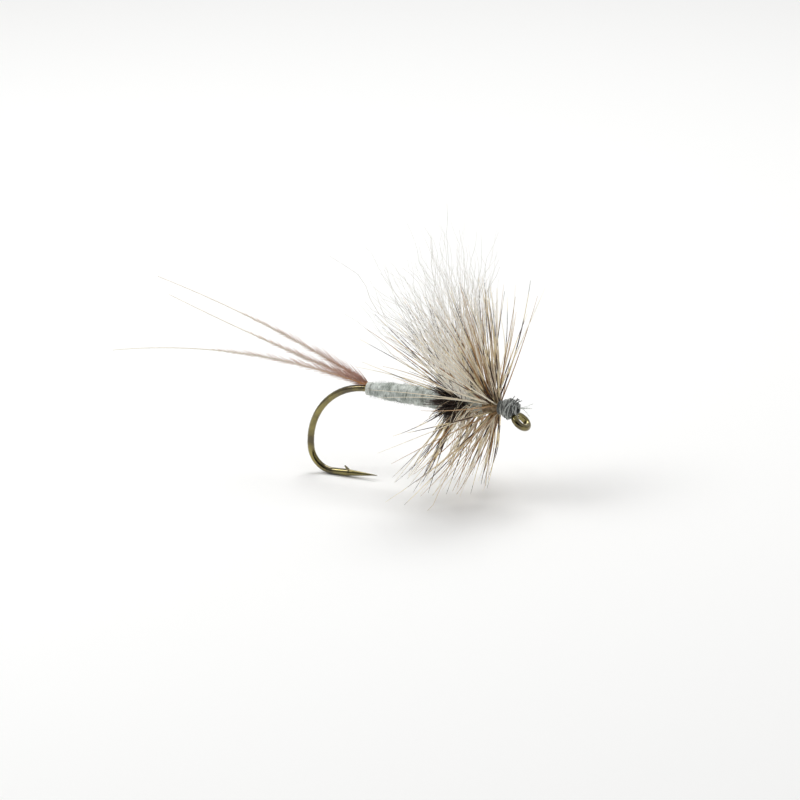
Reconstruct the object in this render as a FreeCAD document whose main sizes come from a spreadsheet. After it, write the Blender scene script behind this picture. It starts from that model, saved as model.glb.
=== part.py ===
import FreeCAD, Part

import math
import os

import Sketcher
from FreeCAD import Placement, Rotation, Vector

# A dry fly: a barbed, down-eye hook dressed with thread, a wound grey body, three tail barbs,
# two upright hair wings and two wound hackles.
# Millimetres. The origin is the centre of the hook eye. +X runs forward along the shank, out
# past the eye, and +Z is up. Stations are distances behind the eye centre, so X = -station.

DRIVING_SIZES = [
    # the hook
    ("wire_diameter", 0.42, "hook wire"),
    ("gape", 5.5, "shank centreline to spear centreline, at the root of the point"),
    ("bend_radius", 3.83, "upper, wide part of the bend"),
    ("throat_radius", 1.45, "lower, tight part of the bend"),
    ("bend_station", 10.0, "where the shank starts to bend"),
    ("spear_rise", 2.5, "degrees the spear climbs towards its point"),
    ("point_station", 11.3, "root of the tapered point"),
    ("point_length", 1.9, "taper of the point"),
    ("point_tip_radius", 0.02, "sharp end of the point"),
    ("barb_reach", 0.25, "barb tip, back from the root of the point"),
    ("barb_root", 0.3, "barb, along the spear"),
    ("barb_height", 0.2, "barb tip above the wire's surface"),
    ("barb_width", 0.16, "barb, across the spear"),
    # the down-turned eye
    ("eye_tilt", 40.0, "degrees the eye is turned down from the shank"),
    ("eye_drop", 0.69, "eye centre below the shank centreline"),
    ("eye_ring_radius", 0.48, "eye centre to the centre of its wire"),
    ("eye_wire_radius", 0.21, "wire round the eye"),
    ("eye_bore_radius", 0.3, "round land inside the eye"),
    ("neck_bend_radius", 0.6, "turn between shank and eye"),
    # layers on the shank, from the wire outwards
    ("underwrap_thickness", 0.04, "thread wound on the bare wire"),
    ("butt_radius", 0.05, "one bundle of wing butts lying on the shank"),
    ("lashing_thickness", 0.04, "thread over the wing butts"),
    ("hackle_stem_diameter", 0.2, "wound quill of a hackle feather"),
    # stations along the shank, from the tail forward
    ("tail_station", 10.0, "rear end of the tail lashing"),
    ("body_station", 9.75, "rear end of the body"),
    ("rear_hackle_station", 4.6, "rear end of the rear hackle"),
    ("wing_station", 3.55, "rear edge of the wing ties"),
    ("dam_station", 2.65, "rear edge of the thread dam"),
    ("front_hackle_station", 2.35, "rear end of the front hackle"),
    ("tie_down_station", 1.4, "rear edge of the hackle tie-down"),
    ("head_station", 1.2, "rear end of the head"),
    ("head_crown_station", 0.75, "thickest part of the head"),
    ("head_front_station", 0.2, "front end of the head"),
    # thickness of each dressing over the layer below it
    ("tail_lashing_thickness", 0.19, "on the bare wire"),
    ("underbody_rear_thickness", 0.03, "on the underwrap"),
    ("underbody_front_thickness", 0.19, "on the underwrap"),
    ("strand_rear_thickness", 0.12, "crest of the rearmost turn, on the underbody"),
    ("strand_front_thickness", 0.2, "crest of the foremost turn, on the underbody"),
    ("figure_eight_thickness", 0.17, "on the underwrap"),
    ("dam_rear_thickness", 0.25, "on the underwrap"),
    ("dam_front_thickness", 0.09, "on the underwrap"),
    ("tie_down_thickness", 0.17, "on the underwrap"),
    ("head_rear_thickness", 0.17, "on the bare wire, as at the crown and the front"),
    ("head_crown_thickness", 0.39, ""),
    ("head_front_thickness", 0.11, ""),
    ("whip_finish_thickness", 0.05, "last thread turns, proud of the head"),
    ("whip_finish_width", 0.24, ""),
    # the tail
    ("tail_root_radius", 0.07, ""),
    ("tail_tip_radius", 0.02, ""),
    ("tail_upper_length", 15.5, ""),
    ("tail_middle_length", 13.9, ""),
    ("tail_lower_length", 16.8, ""),
    # the hackles
    ("barb_length", 6.9, "hackle barb"),
    ("barb_length_spread", 0.5, "shortest to longest hackle barb"),
    ("barb_root_radius", 0.035, ""),
    ("barb_tip_radius", 0.012, ""),
    # the wings
    ("wing_length", 9.8, "hair of middling length, from the wing's root"),
    ("wing_length_spread", 5.4, "shortest to longest hair"),
    ("wing_tilt", 21.0, "degrees each wing leans out sideways"),
    ("wing_lean", 18.0, "degrees the wings lean back"),
    ("wing_fan", 11.0, "degrees the outermost hairs splay from the wing's axis"),
    ("wing_bundle_radius", 0.3, "hairs at the wing's root"),
    ("hair_root_radius", 0.028, ""),
    ("hair_tip_radius", 0.012, ""),
    ("post_wrap_thickness", 0.07, "thread round the wing's root"),
    ("post_wrap_height", 0.35, ""),
    ("post_clearance", 0.03, "between the hairs and the thread round them"),
    # loose ends at the head
    ("stub_radius", 0.03, "clipped quill or hair end"),
    ("stub_length", 0.3, ""),
    ("thread_tag_radius", 0.02, ""),
    ("thread_tag_length", 0.85, ""),
]

FIBRE_SIDES = 6
TAIL_STEPS = 8
RIDGE_FACETS = 4
BODY_TURNS = 10
HACKLE_TURNS = 3
WHIP_TURNS = 4
BARBS_PER_TURN = 18
HAIRS_PER_WING = 30
BUTT_COUNT = 14
GOLDEN_TURN = math.radians(137.508)
GOLDEN_SHARE = 0.618034

doc = FreeCAD.newDocument("dry_fly")
sheet = doc.addObject("Spreadsheet::Sheet", "Sizes")
for row, (alias, value, note) in enumerate(DRIVING_SIZES, start=1):
    sheet.set(f"A{row}", alias)
    sheet.set(f"B{row}", str(value))
    sheet.set(f"C{row}", note)
    sheet.setAlias(f"B{row}", alias)
doc.recompute()

nodes = []

# Expressions that several pieces share.
WIRE = "Sizes.wire_diameter / 2"
UNDERWRAP = f"({WIRE} + Sizes.underwrap_thickness)"
BUTTS = f"({UNDERWRAP} + 2 * Sizes.butt_radius)"
LASHING = f"({BUTTS} + Sizes.lashing_thickness)"
UNDERBODY_REAR = f"({UNDERWRAP} + Sizes.underbody_rear_thickness)"
UNDERBODY_FRONT = f"({UNDERWRAP} + Sizes.underbody_front_thickness)"
TAIL_LASHING = f"({WIRE} + Sizes.tail_lashing_thickness)"
FIGURE_EIGHT = f"({UNDERWRAP} + Sizes.figure_eight_thickness)"
HEAD_CROWN = f"({WIRE} + Sizes.head_crown_thickness)"
HEAD_FRONT = f"({WIRE} + Sizes.head_front_thickness)"


def size(expression):
    """The value in millimetres or degrees of an expression on the sheet."""
    value = sheet.evalExpression(expression)
    return float(getattr(value, "Value", value))


def node(piece, label):
    """Give a finished piece the name it is written under."""
    piece.Label = label
    nodes.append(piece)
    return piece


def origin_plane(body, role):
    return next(plane for plane in body.Origin.OriginFeatures if plane.Role == role)


def attach(feature, body, role, base=("0", "0", "0"), axis=Vector(0, 0, 1), angle="0"):
    """Fix a feature to one of its body's planes, moved by base and turned about axis."""
    feature.AttachmentSupport = [(origin_plane(body, role), "")]
    feature.MapMode = "FlatFace"
    turn = Rotation(axis, size(angle))
    feature.AttachmentOffset = Placement(Vector(*(size(step) for step in base)), turn)
    for letter, step in zip("xyz", base):
        if step != "0":
            feature.setExpression(f"AttachmentOffset.Base.{letter}", step)
    if angle != "0":
        feature.setExpression("AttachmentOffset.Rotation.Angle", angle)


def hold(sketch, kind, *where, by):
    """Add a constraint whose value is an expression on the sheet."""
    value = size(by)
    if kind == "Angle":
        value = math.radians(value)
    index = sketch.addConstraint(Sketcher.Constraint(kind, *where, value))
    sketch.setExpression(f"Constraints[{index}]", by)


def draw_outline(sketch, corners):
    """Draw a closed outline whose corners are pairs of expressions."""
    points = [Vector(size(across), size(up), 0) for across, up in corners]
    for start, end in zip(points, points[1:] + points[:1]):
        sketch.addGeometry(Part.LineSegment(start, end))
    for line in range(len(points)):
        following = (line + 1) % len(points)
        sketch.addConstraint(Sketcher.Constraint("Coincident", line, 2, following, 1))
    for line, (across, up) in enumerate(corners):
        hold(sketch, "DistanceX", -1, 1, line, 1, by=across)
        hold(sketch, "DistanceY", -1, 1, line, 1, by=up)


def turned(name, corners):
    """A piece wound or turned about the shank, from its outline of (station, radius)."""
    body = doc.addObject("PartDesign::Body", name)
    sketch = body.newObject("Sketcher::SketchObject", f"{name}_outline")
    attach(sketch, body, "XZ_Plane", base=("0", "Sizes.eye_drop", "0"))
    draw_outline(sketch, [(f"-({station})", radius) for station, radius in corners])
    turn = body.newObject("PartDesign::Revolution", f"{name}_turn")
    turn.Profile = sketch
    turn.ReferenceAxis = (sketch, ["H_Axis"])
    turn.Angle = 360
    body.Tip = turn
    return body


def sleeve(name, rear, front, bore, outside):
    """A plain layer of thread: a tube on the shank between two stations."""
    return turned(name, [(rear, bore), (rear, outside), (front, outside), (front, bore)])


def closed_wire(corners):
    return Part.makePolygon(corners + corners[:1])


def feature(name, shape):
    piece = doc.addObject("Part::Feature", name)
    piece.Shape = shape
    return piece


def on_shank(station, radius, clock=0.0):
    """A point at a station and radius, clock radians round from straight up towards +Y."""
    across = radius * math.sin(clock)
    up = size("Sizes.eye_drop") + radius * math.cos(clock)
    return Vector(-station, across, up)


def blend(first, last, share):
    """The expression a share of the way from one expression to another."""
    return f"({first}) + {share} * (({last}) - ({first}))"


def wound(name, rear, front, bores, thicknesses, turns):
    """Side-by-side turns of a strand on the shank, as one turned piece with a ridge per turn.

    rear and front are stations; bores and thicknesses each hold a (rear, front) pair. The
    strand is full thickness at each crest and half of it between turns, in straight facets.
    """
    facets = turns * RIDGE_FACETS
    corners = [(rear, bores[0])]
    for facet in range(facets + 1):
        share = facet / facets
        fullness = round(0.5 + 0.5 * abs(math.sin(math.pi * facet / RIDGE_FACETS)), 6)
        radius = f"{blend(*bores, share)} + {fullness} * ({blend(*thicknesses, share)})"
        corners.append((blend(rear, front, share), radius))
    corners.append((front, bores[1]))
    return turned(name, corners)


# ---- the hook: one length of wire, eyed, bent, pointed and barbed ----

def draw_eye(body):
    """The section of the eye's wire: a circle whose inner side is dressed to a flat land."""
    sketch = body.newObject("Sketcher::SketchObject", "EyeOutline")
    attach(sketch, body, "XZ_Plane", angle="-Sizes.eye_tilt")
    centre = size("Sizes.eye_ring_radius")
    wire = size("Sizes.eye_wire_radius")
    bore = size("Sizes.eye_bore_radius")
    spread = math.acos((bore - centre) / wire)
    reach = wire * math.sin(spread)
    circle = Part.Circle(Vector(centre, 0, 0), Vector(0, 0, 1), wire)
    rim = sketch.addGeometry(Part.ArcOfCircle(circle, -spread, spread))
    land = sketch.addGeometry(Part.LineSegment(Vector(bore, reach, 0), Vector(bore, -reach, 0)))
    sketch.addConstraint(Sketcher.Constraint("Coincident", rim, 2, land, 1))
    sketch.addConstraint(Sketcher.Constraint("Coincident", land, 2, rim, 1))
    sketch.addConstraint(Sketcher.Constraint("Vertical", land))
    sketch.addConstraint(Sketcher.Constraint("PointOnObject", rim, 3, -1))
    hold(sketch, "DistanceX", -1, 1, rim, 3, by="Sizes.eye_ring_radius")
    hold(sketch, "DistanceX", -1, 1, land, 1, by="Sizes.eye_bore_radius")
    hold(sketch, "Radius", rim, by="Sizes.eye_wire_radius")
    return sketch


def throat_centre(bend_centre, point):
    """Centre of the throat arc, which touches the bend from inside and the spear from above."""
    rise = math.radians(size("Sizes.spear_rise"))
    throat = size("Sizes.throat_radius")
    along = Vector(math.cos(rise), math.sin(rise), 0)
    above = Vector(-math.sin(rise), math.cos(rise), 0)
    gap = point + above * throat - bend_centre
    apart = size("Sizes.bend_radius") - throat
    ahead = gap.dot(along)
    back = ahead + math.sqrt(ahead ** 2 - gap.dot(gap) + apart ** 2)
    return bend_centre + gap - along * back


def draw_wire_path(body):
    """The centreline of the wire: neck, shank, bend and spear, each tangent to the next."""
    sketch = body.newObject("Sketcher::SketchObject", "WirePath")
    attach(sketch, body, "XZ_Plane")
    tilt = math.radians(size("Sizes.eye_tilt"))
    rise = math.radians(size("Sizes.spear_rise"))
    drop = size("Sizes.eye_drop")
    ring = size("Sizes.eye_ring_radius")
    neck_radius = size("Sizes.neck_bend_radius")
    bend_radius = size("Sizes.bend_radius")
    throat_radius = size("Sizes.throat_radius")
    corner = Vector(-drop / math.tan(tilt), drop, 0)
    tangent = neck_radius * math.tan(tilt / 2)
    back_up = Vector(-math.cos(tilt), math.sin(tilt), 0)
    shank_front = corner - Vector(tangent, 0, 0)
    shank_rear = Vector(-size("Sizes.bend_station"), drop, 0)
    point = Vector(-size("Sizes.point_station"), drop - size("Sizes.gape"), 0)
    neck_centre = shank_front - Vector(0, neck_radius, 0)
    bend_centre = shank_rear - Vector(0, bend_radius, 0)
    throat = throat_centre(bend_centre, point)
    apart = throat - bend_centre
    turn = math.atan2(apart.y, apart.x) % (2 * math.pi)
    throat_end = throat + Vector(math.sin(rise), -math.cos(rise), 0) * throat_radius

    def line(start, end):
        return sketch.addGeometry(Part.LineSegment(start, end))

    def arc(centre, radius, first, last):
        circle = Part.Circle(centre, Vector(0, 0, 1), radius)
        return sketch.addGeometry(Part.ArcOfCircle(circle, first, last))

    neck = line(back_up * ring, corner - back_up * tangent)
    neck_arc = arc(neck_centre, neck_radius, math.pi / 2 - tilt, math.pi / 2)
    shank = line(shank_front, shank_rear)
    bend_arc = arc(bend_centre, bend_radius, math.pi / 2, turn)
    throat_arc = arc(throat, throat_radius, turn, 1.5 * math.pi + rise)
    spear = line(throat_end, point)
    run = [neck, neck_arc, shank, bend_arc, throat_arc, spear]
    for one, following in zip(run, run[1:]):
        sketch.addConstraint(Sketcher.Constraint("Tangent", one, 2, following, 1))
    sketch.addConstraint(Sketcher.Constraint("Horizontal", shank))
    hold(sketch, "DistanceX", -1, 1, neck, 1, by="-Sizes.eye_ring_radius * cos(Sizes.eye_tilt)")
    hold(sketch, "DistanceY", -1, 1, neck, 1, by="Sizes.eye_ring_radius * sin(Sizes.eye_tilt)")
    hold(sketch, "Angle", neck, by="180 - Sizes.eye_tilt")
    hold(sketch, "Radius", neck_arc, by="Sizes.neck_bend_radius")
    hold(sketch, "DistanceX", -1, 1, shank, 2, by="-Sizes.bend_station")
    hold(sketch, "DistanceY", -1, 1, shank, 2, by="Sizes.eye_drop")
    hold(sketch, "Radius", bend_arc, by="Sizes.bend_radius")
    hold(sketch, "Radius", throat_arc, by="Sizes.throat_radius")
    hold(sketch, "Angle", spear, by="Sizes.spear_rise")
    hold(sketch, "DistanceX", -1, 1, spear, 2, by="-Sizes.point_station")
    hold(sketch, "DistanceY", -1, 1, spear, 2, by="Sizes.eye_drop - Sizes.gape")
    return sketch


def draw_wire_section(body):
    """The round section of the wire, square to the neck where the neck meets the eye."""
    sketch = body.newObject("Sketcher::SketchObject", "WireSection")
    up = "Sizes.eye_ring_radius * sin(Sizes.eye_tilt)"
    back = "-Sizes.eye_ring_radius * cos(Sizes.eye_tilt)"
    attach(sketch, body, "YZ_Plane", ("0", up, back), Vector(1, 0, 0), "Sizes.eye_tilt")
    circle = Part.Circle(Vector(0, 0, 0), Vector(0, 0, 1), size(WIRE))
    rim = sketch.addGeometry(circle)
    sketch.addConstraint(Sketcher.Constraint("Coincident", rim, 3, -1, 1))
    hold(sketch, "Radius", rim, by=WIRE)
    return sketch


def build_hook():
    body = doc.addObject("PartDesign::Body", "Hook")
    eye = draw_eye(body)
    ring = body.newObject("PartDesign::Revolution", "EyeRing")
    ring.Profile = eye
    ring.ReferenceAxis = (eye, ["V_Axis"])
    ring.Angle = 360
    path = draw_wire_path(body)
    section = draw_wire_section(body)
    wire = body.newObject("PartDesign::AdditivePipe", "Wire")
    wire.Profile = section
    wire.Spine = path

    # The point is a long taper on the end of the spear.
    point = body.newObject("PartDesign::AdditiveCone", "Point")
    point_z = "Sizes.eye_drop - Sizes.gape"
    point_x = "-Sizes.point_station"
    attach(point, body, "YZ_Plane", ("0", point_z, point_x), Vector(1, 0, 0), "-Sizes.spear_rise")
    point.setExpression("Radius1", WIRE)
    point.setExpression("Radius2", "Sizes.point_tip_radius")
    point.setExpression("Height", "Sizes.point_length")

    # The barb is a sliver of the spear raised towards the shank.
    outline = body.newObject("Sketcher::SketchObject", "BarbOutline")
    attach(outline, body, "XZ_Plane", base=(point_x, point_z, "0"))
    crest = f"{WIRE} + Sizes.barb_height"
    draw_outline(outline, [
        ("Sizes.barb_root", "0"),
        ("-Sizes.barb_reach", crest),
        ("0", "0"),
    ])
    barb = body.newObject("PartDesign::Pad", "Barb")
    barb.Profile = outline
    barb.SideType = "Symmetric"
    barb.setExpression("Length", "Sizes.barb_width")
    body.Tip = barb
    return body


hook = node(build_hook(), "hook")

# ---- thread and body, laid on the shank from the wire outwards ----

node(sleeve("Underwrap", "Sizes.body_station", "Sizes.head_station", WIRE, UNDERWRAP),
     "thread_underwrap")
node(sleeve("TailLashing", "Sizes.tail_station", "Sizes.body_station", WIRE, TAIL_LASHING),
     "tail_lashing")
node(turned("Underbody", [
    ("Sizes.body_station", UNDERWRAP),
    ("Sizes.body_station", UNDERBODY_REAR),
    ("Sizes.rear_hackle_station", UNDERBODY_FRONT),
    ("Sizes.rear_hackle_station", UNDERWRAP),
]), "underbody")
node(wound(
    "BodyWinding", "Sizes.body_station", "Sizes.rear_hackle_station",
    (UNDERBODY_REAR, UNDERBODY_FRONT),
    ("Sizes.strand_rear_thickness", "Sizes.strand_front_thickness"),
    BODY_TURNS,
), "body_winding")

# ---- fibres: feather barbs and hairs, as slim tapered solids with flat sides ----

def fibre_section(place, heading, radius):
    """The corners of a fibre's section, square to its heading."""
    level = Vector(0, 1, 0) if abs(heading.y) < 0.8 else Vector(1, 0, 0)
    aside = heading.cross(level).normalize()
    above = heading.cross(aside)
    corners = []
    for side in range(FIBRE_SIDES):
        turn = 2 * math.pi * side / FIBRE_SIDES
        corners.append(place + (aside * math.cos(turn) + above * math.sin(turn)) * radius)
    return corners


def straight_fibre(root, heading, length, root_radius, tip_radius):
    """A tapered fibre from its root along its heading."""
    base = fibre_section(root, heading, root_radius)
    end = fibre_section(root + heading * length, heading, tip_radius)
    faces = [Part.Face(closed_wire(base)), Part.Face(closed_wire(end))]
    for side in range(FIBRE_SIDES):
        following = (side + 1) % FIBRE_SIDES
        flank = [base[side], base[following], end[following], end[side]]
        faces.append(Part.Face(closed_wire(flank)))
    return Part.Solid(Part.Shell(faces))


# ---- the tail: three barbs springing from the rear face of the lashing ----

def curved_barb(name, clock, length, root_rise, tip_rise, splay):
    """A tapered barb on an arc, its root on the tail lashing's rear face.

    clock places the root round the shank; the rises and the splay are in degrees.
    """
    root_radius = size("Sizes.tail_root_radius")
    tip_radius = size("Sizes.tail_tip_radius")
    middle = size(f"({WIRE} + {TAIL_LASHING}) / 2")
    place = on_shank(size("Sizes.tail_station"), middle, math.radians(clock))
    yaw = math.radians(splay)
    sections = []
    for step in range(TAIL_STEPS + 1):
        share = step / TAIL_STEPS
        rise = math.radians(root_rise + (tip_rise - root_rise) * share)
        heading = Vector(-math.cos(rise) * math.cos(yaw), math.cos(rise) * math.sin(yaw),
                         math.sin(rise))
        radius = root_radius + (tip_radius - root_radius) * share
        facing = Vector(-1, 0, 0) if step == 0 else heading
        sections.append(closed_wire(fibre_section(place, facing, radius)))
        place = place + heading * (length / TAIL_STEPS)
    return feature(name, Part.makeLoft(sections, True, True))


node(curved_barb("TailUpper", 28, size("Sizes.tail_upper_length"), 22, 11, 4),
     "tail_barb_upper")
node(curved_barb("TailMiddle", 0, size("Sizes.tail_middle_length"), 14, 19, 0),
     "tail_barb_middle")
node(curved_barb("TailLower", -28, size("Sizes.tail_lower_length"), 12, -13, -4),
     "tail_barb_lower")

# ---- the wings: two bundles of hair tied in by their butts and set upright ----

def build_butts():
    rear = size("Sizes.rear_hackle_station")
    front = size("Sizes.wing_station")
    radius = size("Sizes.butt_radius")
    pitch_radius = size(UNDERWRAP) + radius
    rods = []
    for rod in range(BUTT_COUNT):
        clock = 2 * math.pi * rod / BUTT_COUNT
        rods.append(Part.makeCylinder(
            radius, rear - front, on_shank(rear, pitch_radius, clock), Vector(1, 0, 0)))
    return feature("WingButts", Part.makeCompound(rods))


def wing_frame(side):
    """The root and the axis of a wing; side is -1 for the near wing and +1 for the far one."""
    tilt = math.radians(size("Sizes.wing_tilt"))
    lean = math.radians(size("Sizes.wing_lean"))
    axis = Vector(-math.sin(lean), side * math.cos(lean) * math.sin(tilt),
                  math.cos(lean) * math.cos(tilt))
    outside = size("Sizes.wing_bundle_radius + Sizes.post_clearance + Sizes.post_wrap_thickness")
    # The tilted collar's inner edges just miss each other, and its lowest edge just
    # touches the ties round the shank.
    across = outside / math.cos(tilt)
    height = size(FIGURE_EIGHT) + outside * math.sqrt(1 - axis.z ** 2)
    station = size("(Sizes.wing_station + Sizes.dam_station) / 2")
    root = on_shank(station, 0) + Vector(0, side * across, height)
    return root, axis


def build_wing(name, side):
    root, axis = wing_frame(side)
    bundle = size("Sizes.wing_bundle_radius - Sizes.hair_root_radius")
    fan = math.tan(math.radians(size("Sizes.wing_fan")))
    fore = axis.cross(Vector(0, 1, 0)).normalize()
    aside = fore.cross(axis) * side
    hairs = []
    for hair in range(HAIRS_PER_WING):
        share = math.sqrt((hair + 0.5) / HAIRS_PER_WING)
        clock = hair * GOLDEN_TURN
        outward = fore * (share * math.cos(clock)) + aside * (share * math.sin(clock))
        heading = (axis + outward * fan).normalize()
        spread = (hair * GOLDEN_SHARE) % 1 - 0.5
        length = size("Sizes.wing_length") + spread * size("Sizes.wing_length_spread")
        hairs.append(straight_fibre(
            root + outward * bundle, heading, length,
            size("Sizes.hair_root_radius"), size("Sizes.hair_tip_radius")))
    return feature(name, Part.makeCompound(hairs))


def build_post_wrap(name, side):
    root, axis = wing_frame(side)
    bore = size("Sizes.wing_bundle_radius + Sizes.post_clearance")
    height = size("Sizes.post_wrap_height")
    outside = Part.makeCylinder(bore + size("Sizes.post_wrap_thickness"), height, root, axis)
    inside = Part.makeCone(
        bore, bore + height * math.tan(math.radians(size("Sizes.wing_fan"))) / 2,
        height, root, axis)
    return feature(name, outside.cut(inside))


node(build_butts(), "wing_butts")
node(sleeve("ButtLashing", "Sizes.rear_hackle_station", "Sizes.wing_station", BUTTS, LASHING),
     "wing_butt_lashing")
node(sleeve("FigureEight", "Sizes.wing_station", "Sizes.dam_station", UNDERWRAP, FIGURE_EIGHT),
     "wing_figure_eight")
for side, place in ((-1, "near"), (1, "far")):
    node(build_wing(f"Wing_{place}", side), f"wing_{place}")
    node(build_post_wrap(f"PostWrap_{place}", side), f"wing_post_wrap_{place}")
node(turned("Dam", [
    ("Sizes.dam_station", UNDERWRAP),
    ("Sizes.dam_station", f"{UNDERWRAP} + Sizes.dam_rear_thickness"),
    ("Sizes.front_hackle_station", f"{UNDERWRAP} + Sizes.dam_front_thickness"),
    ("Sizes.front_hackle_station", UNDERWRAP),
]), "wing_front_dam")

# ---- the hackles: a quill wound round the shank, with barbs standing out from every turn ----

def build_barbs(name, turn, station, crest, lean_above, lean_below):
    """One turn's barbs. A barb that would reach below the ground plane ends on it."""
    ground = size("Sizes.gape + Sizes.wire_diameter / 2") + spear_drop()
    barbs = []
    for barb in range(BARBS_PER_TURN):
        number = turn + barb * len(ALL_TURNS)
        clock = 2 * math.pi * (number + 0.5) / (BARBS_PER_TURN * len(ALL_TURNS))
        jitter = (number * GOLDEN_SHARE) % 1 - 0.5
        share = (1 + math.cos(clock)) / 2
        lean = math.radians(lean_below + (lean_above - lean_below) * share + jitter * LEAN_JITTER)
        length = size("Sizes.barb_length") + jitter * size("Sizes.barb_length_spread")
        fall = -math.cos(clock) * math.cos(lean)
        if fall > 0:
            length = min(length, (ground + crest * math.cos(clock)) / fall)
        heading = Vector(math.sin(lean), math.cos(lean) * math.sin(clock),
                         math.cos(lean) * math.cos(clock))
        barbs.append(straight_fibre(
            on_shank(station, crest, clock), heading, length,
            size("Sizes.barb_root_radius"), size("Sizes.barb_tip_radius")))
    return feature(name, Part.makeCompound(barbs))


def spear_drop():
    """How far the lowest wire centre lies below the root of the point."""
    rise = math.radians(size("Sizes.spear_rise"))
    drop = size("Sizes.eye_drop")
    bend_centre = Vector(-size("Sizes.bend_station"), drop - size("Sizes.bend_radius"), 0)
    point = Vector(-size("Sizes.point_station"), drop - size("Sizes.gape"), 0)
    lowest = throat_centre(bend_centre, point).y - size("Sizes.throat_radius")
    return point.y - lowest


LEAN_JITTER = 5.0
# Degrees forward of square at the top and at the bottom of each turn, from the rear forward.
REAR_LEANS = [(-50, -34), (-42, -26), (-34, -18)]
FRONT_LEANS = [(6, -10), (12, -2), (18, 6)]
ALL_TURNS = REAR_LEANS + FRONT_LEANS


def build_hackle(name, rear, front, bore, leans, first_turn):
    """The wound quill and one group of barbs for each of its turns."""
    diameter = "Sizes.hackle_stem_diameter"
    node(wound(f"{name}_quill", rear, front, (bore, bore), (diameter, diameter), HACKLE_TURNS),
         f"{name}_stem")
    for turn, (above, below) in enumerate(leans):
        station = size(blend(rear, front, (turn + 0.5) / HACKLE_TURNS))
        node(build_barbs(f"{name}_turn_{turn + 1}", first_turn + turn, station,
                         size(f"{bore} + {diameter}"), above, below),
             f"{name}_barbs_{turn + 1}")


build_hackle("rear_hackle", "Sizes.rear_hackle_station", "Sizes.wing_station",
             LASHING, REAR_LEANS, 0)
build_hackle("front_hackle", "Sizes.front_hackle_station", "Sizes.tie_down_station",
             UNDERWRAP, FRONT_LEANS, len(REAR_LEANS))
node(sleeve("TieDown", "Sizes.tie_down_station", "Sizes.head_station", UNDERWRAP,
            f"{UNDERWRAP} + Sizes.tie_down_thickness"), "hackle_tie_down")

# ---- the head: thread built up over the neck of the hook, and its loose ends ----

head_blank = turned("HeadBlank", [
    ("Sizes.head_station", "0"),
    ("Sizes.head_station", f"{WIRE} + Sizes.head_rear_thickness"),
    ("Sizes.head_crown_station", HEAD_CROWN),
    ("Sizes.head_front_station", HEAD_FRONT),
    ("Sizes.head_front_station", "0"),
])


def around_hook(name, blank):
    """What is left of a blank once the hook's wire has passed through it."""
    cut = doc.addObject("Part::Cut", name)
    cut.Base = blank
    cut.Tool = hook
    return cut


node(around_hook("Head", head_blank), "head_wraps")


def build_whip_finish():
    """The last turns, from the head's crown towards its front end."""
    rear = "Sizes.head_crown_station"
    front = f"{rear} - Sizes.whip_finish_width"
    slope = f"({HEAD_CROWN} - {HEAD_FRONT}) / ({rear} - Sizes.head_front_station)"
    bores = (HEAD_CROWN, f"{HEAD_CROWN} - {slope} * Sizes.whip_finish_width")
    thickness = "Sizes.whip_finish_thickness"
    return wound("WhipBlank", rear, front, bores, (thickness, thickness), WHIP_TURNS)


def build_stubs():
    """Three clipped ends standing out of the head's front face, above the neck."""
    station = size("Sizes.head_front_station")
    place = size(HEAD_FRONT) - 2 * size("Sizes.stub_radius")
    stubs = []
    for clock, lift in ((-0.7, 25), (0.0, 40), (0.7, 30)):
        lift_angle = math.radians(lift)
        heading = Vector(math.cos(lift_angle), 0, math.sin(lift_angle))
        stubs.append(straight_fibre(
            on_shank(station, place, clock), heading, size("Sizes.stub_length"),
            size("Sizes.stub_radius"), size("Sizes.stub_radius")))
    return feature("Stubs", Part.makeCompound(stubs))


node(around_hook("WhipFinish", build_whip_finish()), "whip_finish")
node(build_stubs(), "clipped_stubs")
node(feature("ThreadTag", straight_fibre(
    on_shank(size("Sizes.head_front_station"), 0), Vector(1, 0, 0),
    size("Sizes.thread_tag_length"),
    size("Sizes.thread_tag_radius"), size("Sizes.thread_tag_radius"))), "thread_tag")

# ---- check the document, then write each piece ----

doc.recompute()
for piece in doc.Objects:
    if "Invalid" in piece.State or "Error" in piece.State:
        raise RuntimeError(f"{piece.Label} did not build: {piece.State}")
labels = [piece.Label for piece in nodes]
if len(set(labels)) != len(labels):
    raise RuntimeError("two pieces share a name")
os.makedirs("parts", exist_ok=True)
for piece in nodes:
    shape = piece.Shape
    if shape.isNull() or not shape.isValid() or not shape.Solids:
        raise RuntimeError(f"{piece.Label} has no sound solid")
    shape.exportStep(f"parts/{piece.Label}.step")
    print(f"{piece.Label}: {len(shape.Solids)} solids, {shape.Volume:.4f} mm3")
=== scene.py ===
import math

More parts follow.
